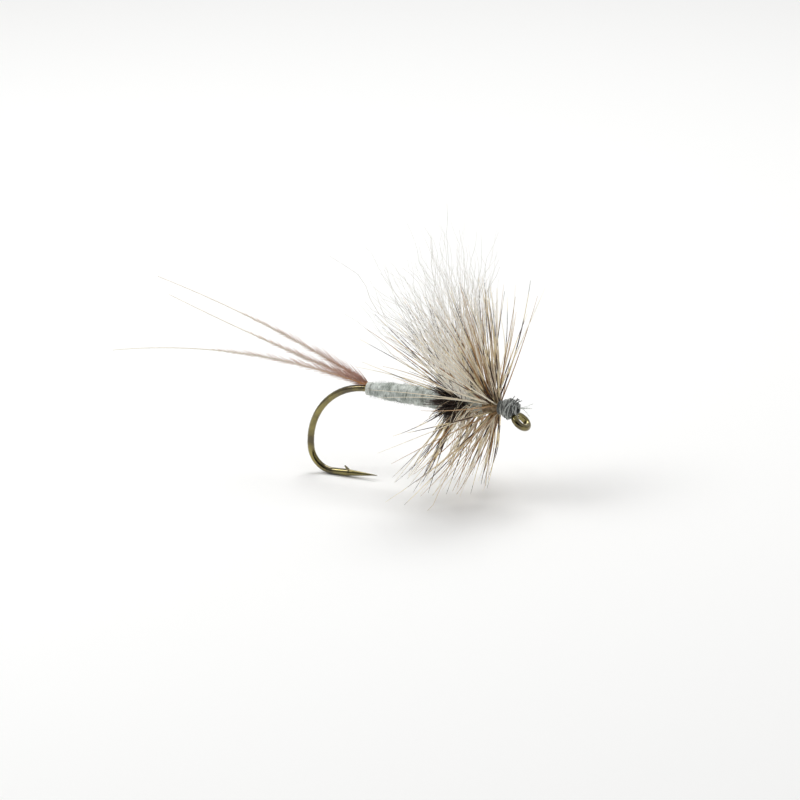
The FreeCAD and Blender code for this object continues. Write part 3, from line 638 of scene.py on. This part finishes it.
# Some barbs are nearly all dark and some nearly all cream.
bar_level = put(tree, "ShaderNodeMath", {"operation": "MULTIPLY_ADD"}, {
    0: tone_fac, 1: 3.2, 2: bar_wave.outputs["Value"],
})
bars = put(tree, "ShaderNodeMapRange", {"interpolation_type": "SMOOTHSTEP"}, {
    "Value": bar_level.outputs["Value"], "From Min": 0.6, "From Max": 1.3,
})
barred = put(tree, "ShaderNodeMix", {"data_type": "RGBA"}, {
    0: bars.outputs["Result"], 6: linear("#45291a"), 7: linear("#eedcb2"),
})
clear_share = put(tree, "ShaderNodeMapRange", {}, {
    "Value": tone_fac, "From Min": 0.55, "From Max": 0.85,
})
clear = put(tree, "ShaderNodeMix", {"data_type": "RGBA"}, {
    0: clear_share.outputs["Result"], 6: linear("#ab7d48"), 7: linear("#fbf1da"),
})
is_clear = put(tree, "ShaderNodeMath", {"operation": "GREATER_THAN"}, {0: tone_fac, 1: 0.5})
barb_colour = put(tree, "ShaderNodeMix", {"data_type": "RGBA"}, {
    0: is_clear.outputs["Value"], 6: barred.outputs[2], 7: clear.outputs[2],
})
tree.links.new(barb_colour.outputs[2], shader.inputs["Base Color"])


def spokes(x, radius, clock, lean):
    """Roots at a radius from the shank and headings square to it, each leaned forward by lean."""
    out = np.stack([0 * clock, np.sin(clock), np.cos(clock)], axis=1)
    root = np.stack([x, radius * np.sin(clock), SHANK_Z + radius * np.cos(clock)], axis=1)
    heading = out * np.cos(lean)[:, None]
    heading[:, 0] = np.sin(lean)
    return root, heading


def dressed_radius(x):
    """The radius of what is wound on the shank at x, step by step from the quill to the dam."""
    radius = np.full_like(x, wrap_high.y)
    for node in ("wing_figure_eight", "wing_front_dam", "rear_hackle_stem", "front_hackle_stem"):
        low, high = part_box(node)
        radius = np.where((x >= low.x) & (x <= high.x), high.y, radius)
    return radius


def barb_turn(name, node, slot, x, count, size, leans, spread, barred_share):
    """One turn's barbs: root + length * (t * heading + bow * t * t), ending at the ground.

    The lean changes from leans[0] at the top to leans[1] at the bottom, less leans[2] on the
    near side and plus leans[2] on the far one, where level barbs are swept back, with scatter.
    """
    clock = 2 * math.pi * (np.arange(count) + rng.random(count)) / count
    clock -= SIDE_THINNING * np.sin(2 * clock)
    far = np.maximum(np.sin(clock), 0)
    near = np.maximum(-np.sin(clock), 0)
    lost = FAR_LOSS * far ** 4 + NEAR_LOSS * near ** 4 + LOWER_LOSS * np.maximum(-np.cos(clock), 0)
    clock = clock[rng.random(count) > lost]
    count = len(clock)
    top = (1 + np.cos(clock)) / 2
    lean = leans[1] + (leans[0] - leans[1]) * top + leans[2] * np.sin(clock)
    lean -= FAR_SWEEP * np.maximum(np.sin(clock), 0) ** 6
    lean = np.radians(lean + rng.normal(0, LEAN_SCATTER, count))
    # Under the wing the roots stray from the quill; above the shank they keep to it.
    below = np.clip(0.5 - 2 * np.cos(clock), 0, 1)
    start = x + ROOT_SCATTER * rng.uniform(-1, 1, count) + spread * below * rng.random(count)
    root, heading = spokes(start, dressed_radius(start) - ROOT_DEPTH, clock, lean)
    # Barbs cling in threes, each bunch drawn part of the way to its middle, and some slew round.
    bunch = np.arange(count) // 3
    middle = np.stack([np.bincount(bunch, heading[:, axis])[bunch] for axis in range(3)], axis=1)
    heading = unit(heading + unit(middle) * rng.uniform(0, 1.6, bunch[-1] + 1)[bunch][:, None]
                   + rng.normal(0, 0.09, (count, 3)))
    length = rng.normal(size, BARB_LENGTH_SCATTER, count)
    length = MM * np.clip(length, size - 1.6, size + 0.8)
    # A falling barb ends at the ground or a little short of it.
    fall = np.maximum(-heading[:, 2], 1e-6)
    reach = (root[:, 2] - GROUND_Z) / fall * rng.uniform(0.74, 1, count)
    length = np.where(heading[:, 2] < 0, np.minimum(length, reach), length)
    # The barbs' natural curve takes their tips a little towards the tail.
    bow = rng.normal(0, 0.07, (count, 1, 3))
    bow[:, 0, 0] -= 0.06
    t = np.linspace(0, 1, BARB_POINTS)[None, :, None]
    paths = root[:, None] + length[:, None, None] * (t * heading[:, None] + bow * t ** 2)
    paths[:, :, 2] = np.maximum(paths[:, :, 2], GROUND_Z + 0.02 * MM)
    thick = MM * rng.uniform(0.036, 0.055, (count, 1))
    radii = thick * (1 - 0.82 * t[0, :, 0] ** 1.2)
    tones = np.where(rng.random(count) < barred_share, rng.uniform(0, 0.49, count),
                     rng.uniform(0.51, 1, count))
    add_piece(fibres(name, paths, radii, tones, 5), hackle_barb, slot, node)


# A row is a turn of the quill: its leans in degrees, and how far along the shank its lower barbs
# are pressed under the wing. Only the turns next to the wing have barbs pressed under it.
REAR_TURNS = (((-38, -26, 0), 0.0), ((-30, -22, 4), 0.0), ((-22, -18, 6), 0.6 * MM))
FRONT_TURNS = (((-14, -22, 13), -0.8 * MM), ((-8, -18, 13), 0.0), ((0, -16, 12), 0.0))
# For each hackle: the barbs on a turn before thinning, their length in millimetres, and the share
# of them that is barred.
for side_name, count, size, barred_share, turns in (("rear", 44, 5.4, 0.66, REAR_TURNS),
                                                    ("front", 74, 6.6, 0.34, FRONT_TURNS)):
    low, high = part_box(f"{side_name}_hackle_stem")
    for turn, (leans, spread) in enumerate(turns):
        x = low.x + (turn + 0.5) / 3 * (high.x - low.x)
        barb_turn(f"{side_name}_barbs_{turn + 1}", f"{side_name}_hackle_barbs_{turn + 1}",
                  f"{side_name}_hackle_barb", x, count, size, leans, spread, barred_share)

# Hackle quill is glossy horn, mottled from dark brown to tan. It is flat, and wound in three
# side-by-side turns.
QUILL_FLECK = 0.15 * MM
QUILL_THICKNESS = 0.2 * MM
quill, tree, shader = material_of("hackle_quill_horn", {"Roughness": 0.35, "IOR": 1.54})
place = put(tree, "ShaderNodeTexCoord", {}, {}).outputs["Object"]
fleck = put(tree, "ShaderNodeTexNoise", {}, {"Vector": place, "Scale": 1 / QUILL_FLECK, "Detail": 3.0})
quill_colour = put(tree, "ShaderNodeMix", {"data_type": "RGBA"}, {
    0: fleck.outputs["Fac"], 6: linear("#3a2a1d"), 7: linear("#b39a72"),
})
tree.links.new(quill_colour.outputs[2], shader.inputs["Base Color"])
for side_name in ("rear", "front"):
    low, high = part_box(f"{side_name}_hackle_stem")
    along = np.array([low.x, high.x])
    crest = along * 0 + high.y
    wound = wound_sleeve(f"{side_name}_quill", along, crest, crest - QUILL_THICKNESS,
                         (high.x - low.x) / 3, 0.08 * MM, 0.03)
    add_piece(wound, quill, f"{side_name}_hackle_quill", f"{side_name}_hackle_stem")

# The web at the feather's base is soft down, almost black with some brown in it, and lies in a
# collar behind the wing. Its front edge is a little way under the wing.
WEB_COUNT = 900
WEB_FRONT = 0.25 * MM
web, tree, shader = material_of("hackle_web_down", {
    "Roughness": 0.5, "IOR": 1.55, "Sheen Weight": 0.2, "Sheen Roughness": 0.4,
})
tone_fac = put(tree, "ShaderNodeAttribute", {"attribute_name": "tone"}, {}).outputs["Fac"]
web_colour = put(tree, "ShaderNodeMix", {"data_type": "RGBA"}, {
    0: tone_fac, 6: linear("#120c09"), 7: linear("#4a3222"),
})
tree.links.new(web_colour.outputs[2], shader.inputs["Base Color"])


def web_collar():
    """Short curved down round the rear quill: root + length * (t * heading + bow * t * t)."""
    low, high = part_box("rear_hackle_stem")
    x = rng.uniform(low.x - 0.1 * MM, high.x + WEB_FRONT, WEB_COUNT)
    clock = rng.uniform(0, 2 * math.pi, WEB_COUNT)
    lean = np.radians(rng.normal(-25, 28, WEB_COUNT))
    radius = np.where(x < high.x, high.y - 0.05 * MM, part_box("wing_figure_eight")[1].y - ROOT_DEPTH)
    root, heading = spokes(x, radius, clock, lean)
    # The down is longest on top.
    length = MM * rng.uniform(0.4, 1.3, WEB_COUNT) * (1.15 + 0.35 * np.cos(clock))
    t = np.linspace(0, 1, 5)[None, :, None]
    bow = rng.normal(0, 0.12, (WEB_COUNT, 1, 3))
    paths = root[:, None] + length[:, None, None] * (t * heading[:, None] + bow * t ** 2)
    radii = MM * rng.uniform(0.02, 0.04, (WEB_COUNT, 1)) * np.array([[1, 1, 0.8, 0.5, 0.15]])
    return fibres("rear_web_collar", paths, radii, rng.random(WEB_COUNT), 4)


add_piece(web_collar(), web, "rear_hackle_barb")

# A few cream barbs are trapped by the wing's tie and curl down over the dark web.
LOOSE_BARBS = 44
LOOSE_POINTS = 12


def loose_barbs():
    """Curled barbs: root + length * (t * heading - drop * t * t), on both sides of the shank."""
    tie_low, tie_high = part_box("wing_figure_eight")
    x = rng.uniform(tie_low.x + 0.1 * MM, tie_high.x + 0.6 * MM, LOOSE_BARBS)
    side = np.where(np.arange(LOOSE_BARBS) % 2 == 0, -1.0, 1.0)
    clock = side * rng.uniform(0.1, 2.0, LOOSE_BARBS)
    lean = np.radians(rng.uniform(-60, -25, LOOSE_BARBS))
    root, heading = spokes(x, dressed_radius(x) - 0.02 * MM, clock, lean)
    length = MM * rng.uniform(1.4, 2.6, LOOSE_BARBS)
    t = np.linspace(0, 1, LOOSE_POINTS)[None, :, None]
    drop = np.stack([rng.normal(-0.2, 0.15, LOOSE_BARBS), -side * rng.uniform(0.0, 0.4, LOOSE_BARBS),
                     rng.uniform(0.6, 1.3, LOOSE_BARBS)], axis=1)[:, None]
    paths = root[:, None] + length[:, None, None] * (t * heading[:, None] - drop * t ** 2)
    radii = MM * rng.uniform(0.028, 0.04, (LOOSE_BARBS, 1)) * np.linspace(1, 0.4, LOOSE_POINTS)
    return fibres("rear_loose_barbs", paths, radii, rng.uniform(0.6, 1, LOOSE_BARBS), 5)


add_piece(loose_barbs(), hackle_barb, "rear_hackle_barb")

# ---- The head ----
# Grey waxed thread, wound and crossed into a small rough cone behind the eye, and locked with a
# whip finish. Clipped quill ends and the thread's own end are left standing at its front.

# Grey waxed thread is a mid grey with a slight lustre, painted nearly black between its filaments as
# painted shade.
grey_thread = thread_of("grey_waxed_thread", "#7d807d", "#2c2e2d", 0.5)
for name, node in (("tie_down_thread", "hackle_tie_down"), ("head_cone", "head_wraps")):
    along, outside = outline(node)
    layer = wound_sleeve(name, along, outside, outside * 0 + WIRE_RADIUS, THREAD_PITCH,
                         0.03 * MM, 0.15)
    add_piece(layer, grey_thread, "grey_thread", node)
head_along, head_outside = outline("head_wraps")
head_span = head_along[-1] - head_along[0]

# The outer turns are painted lighter than the painted shade in the crevices between them, each by its
# own random amount from near black to near white over a mid-grey thread, as painted highlight and
# painted shade.
CROSSED_TURNS = 18
CROSSED_RADIUS = 0.038 * MM
CROSSED_POINTS = 60
outer_turns_painted_light, tree, shader = material_of("grey_thread_outer_turns_painted_light", {
    "Roughness": 0.45, "IOR": 1.53, "Sheen Weight": 0.3, "Sheen Roughness": 0.4,
})
tone_fac = put(tree, "ShaderNodeAttribute", {"attribute_name": "tone"}, {}).outputs["Fac"]
# Painted light: each turn's tone runs from painted shade to painted highlight, and is not a colour of
# the grey thread.
outer_turn_painted_light = put(tree, "ShaderNodeMix", {"data_type": "RGBA"}, {
    0: tone_fac, 6: linear("#232524"), 7: linear("#e3e7e1"),
})
tree.links.new(outer_turn_painted_light.outputs[2], shader.inputs["Base Color"])


def crossed_thread():
    """Turns that wander over the cone: x is middle + swing * sin(turn of t), 1.2 times round."""
    t = np.linspace(0, 1, CROSSED_POINTS)[None, :]
    start = rng.uniform(0, 2 * math.pi, (CROSSED_TURNS, 1))
    swing = rng.uniform(0.15, 0.5, (CROSSED_TURNS, 1))
    middle = rng.uniform(0.25, 0.75, (CROSSED_TURNS, 1))
    swings = 2 * math.pi * t * rng.uniform(0.4, 1.3, (CROSSED_TURNS, 1))
    share = np.clip(middle + swing * np.sin(swings + start), 0.02, 0.98)
    angle = start * 3 + 2 * math.pi * 1.2 * t
    x = head_along[0] + share * head_span
    proud = rng.uniform(-0.01, 0.06, (CROSSED_TURNS, 1)) * MM
    radius = np.interp(x, head_along, head_outside) + proud
    paths = np.stack([x, radius * np.sin(angle), SHANK_Z + radius * np.cos(angle)], axis=-1)
    radii = np.full(x.shape, CROSSED_RADIUS)
    return fibres("head_crossed_thread", paths, radii, rng.random(CROSSED_TURNS), 5)


add_piece(crossed_thread(), outer_turns_painted_light, "grey_thread")

# The whip finish is one length of thread, a screw of four turns over the middle of the head:
# x runs on evenly with the angle, and the radius follows the cone.
WHIP_TURNS = 4
POINTS_PER_WHIP = 28
low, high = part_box("whip_finish")
t = np.linspace(0, 1, WHIP_TURNS * POINTS_PER_WHIP)
x = low.x + (0.1 + 0.8 * t) * (high.x - low.x)
angle = 2 * math.pi * WHIP_TURNS * t
radius = np.interp(x, head_along, head_outside) + 0.03 * MM
whip_path = np.stack([x, radius * np.sin(angle), SHANK_Z + radius * np.cos(angle)], axis=-1)
whip = fibres("whip_finish_thread", whip_path[None], np.full((1, len(t)), THREAD_RADIUS),
              np.zeros(1), 6)
add_piece(whip, grey_thread, "grey_thread", "whip_finish")

# Clipped ends are stiff and dark, cut square. They bristle from the head's upper front.
STUBS = 12


def clipped_ends():
    """Short straight bristles: root + length * t * heading, fanned over the upper front."""
    low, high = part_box("clipped_stubs")
    clock = rng.normal(0, 0.7, STUBS)
    lean = np.radians(90 - rng.uniform(20, 75, STUBS))
    x = np.full(STUBS, low.x) - rng.uniform(0, 0.5, STUBS) * MM
    radius = np.interp(x, head_along, head_outside) - 0.05 * MM
    root, heading = spokes(x, radius, clock, lean)
    t = np.linspace(0, 1, 3)[None, :, None]
    length = MM * rng.uniform(0.18, 0.42, STUBS)
    paths = root[:, None] + length[:, None, None] * t * heading[:, None]
    radii = MM * rng.uniform(0.018, 0.035, (STUBS, 1)) * np.ones((1, 3))
    return fibres("clipped_ends", paths, radii, rng.random(STUBS), 5)


add_piece(clipped_ends(), grey_thread, "grey_thread", "clipped_stubs")

# The thread's end frays into a few pale filaments that curl forward over the eye.
FILAMENTS = 7
FILAMENT_POINTS = 12
FILAMENT_RADIUS = 0.012 * MM


def frayed_tag():
    """Filaments: root + t * run + arc * t * (1.6 * t - 0.6), each with a run and arc of its own."""
    low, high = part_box("thread_tag")
    root = np.array([low.x, 0.0, SHANK_Z + 0.12 * MM])
    t = np.linspace(0, 1, FILAMENT_POINTS)[None, :, None]
    run = np.zeros((FILAMENTS, 1, 3))
    run[:, 0, 0] = rng.uniform(0.6, 1.05, FILAMENTS) * (high.x - low.x)
    run[:, 0, 1:] = rng.normal(0, 0.14, (FILAMENTS, 2)) * MM
    arc = rng.normal(0, 0.16, (FILAMENTS, 1, 3)) * MM
    paths = root + t * run + arc * t * (1.6 * t - 0.6)
    radii = np.full((FILAMENTS, FILAMENT_POINTS), FILAMENT_RADIUS)
    return fibres("frayed_thread_tag", paths, radii, rng.random(FILAMENTS), 4)


add_piece(frayed_tag(), pale_thread, "pale_thread", "thread_tag")

# ---- Floor, light and camera ----
# A plain pale cloth-white floor that runs past the view on every side, lit by large soft lamps.
# The hook's bend and the hackle tips rest on it.

FLOOR_HALF = 3.0
floor_corners = np.array([[-1, -1, 0], [1, -1, 0], [1, 1, 0], [-1, 1, 0]]) * FLOOR_HALF
floor = mesh_piece("floor", floor_corners + [0, 0, GROUND_Z], np.array([[0, 1, 2, 3]]))
floor_white, tree, shader = material_of("matt_white_floor", {
    "Roughness": 0.9, "Base Color": linear("#f6f6f5"),
})
dress(floor, floor_white)

AZIMUTH = 25
ELEVATION = 18
LENS = 200.0
VIEW_WIDTH = 47.2 * MM
# From the view's middle the hook's eye lies this far to the right and this far down.
EYE_RIGHT = 7.14 * MM
EYE_DOWN = 1.27 * MM


def direction(azimuth, elevation):
    """Towards azimuth and elevation in degrees: (sin a * cos e, -cos a * cos e, sin e)."""
    a = math.radians(azimuth)
    e = math.radians(elevation)
    return Vector((math.sin(a) * math.cos(e), -math.cos(a) * math.cos(e), math.sin(e)))


scene = bpy.context.scene
scene.view_settings.view_transform = "Standard"
world = bpy.data.worlds.new("studio")
world.use_nodes = True
scene.world = world
tree = world.node_tree
ray = put(tree, "ShaderNodeTexCoord", {}, {}).outputs["Generated"]
# The studio is white all round but for a darker side at the front, a little above the floor's
# level, which draws a dark line down the bright wire.
front = direction(AZIMUTH, 0)
front_side = put(tree, "ShaderNodeVectorMath", {"operation": "DOT_PRODUCT"}, {
    0: ray, 1: (front.x, front.y, 0.15),
})
dark = put(tree, "ShaderNodeMapRange", {"interpolation_type": "SMOOTHSTEP"}, {
    "Value": front_side.outputs["Value"], "From Min": 0.45, "From Max": 0.85,
})
sky = put(tree, "ShaderNodeMix", {"data_type": "RGBA"}, {
    0: dark.outputs["Result"], 6: linear("#f8f8f8"), 7: linear("#4c4c4e"),
})
background = tree.nodes["Background"]
tree.links.new(sky.outputs[2], background.inputs["Color"])
background.inputs["Strength"].default_value = 0.6

SPAN = (cad_high - cad_low).length
middle = (cad_high + cad_low) / 2


def lamp(name, azimuth, elevation, distance, size, power):
    """A square soft lamp, a number of object spans away, aimed at the object's middle."""
    back = direction(azimuth, elevation)
    data = bpy.data.lights.new(name, "AREA")
    data.size = size * SPAN
    data.energy = power
    made = bpy.data.objects.new(name, data)
    scene.collection.objects.link(made)
    made.location = middle + back * distance * SPAN
    made.rotation_euler = (-back).to_track_quat("-Z", "Y").to_euler()


lamp("key", -62, 50, 5, 1.8, 0.11)
lamp("fill", 70, 35, 6, 5, 0.04)
lamp("top", 195, 62, 6, 3, 0.2)

camera_data = bpy.data.cameras.new("camera")
camera_data.lens = LENS
camera_data.sensor_width = 36.0
camera_data.clip_start = 0.01
camera_data.clip_end = 20.0
camera = bpy.data.objects.new("camera", camera_data)
scene.collection.objects.link(camera)
back = direction(AZIMUTH, ELEVATION)
right = direction(AZIMUTH + 90, 0)
above = back.cross(right)
aim = -right * EYE_RIGHT + above * EYE_DOWN
camera.location = aim + back * VIEW_WIDTH * LENS / camera_data.sensor_width
camera.rotation_euler = (-back).to_track_quat("-Z", "Y").to_euler()
scene.camera = camera
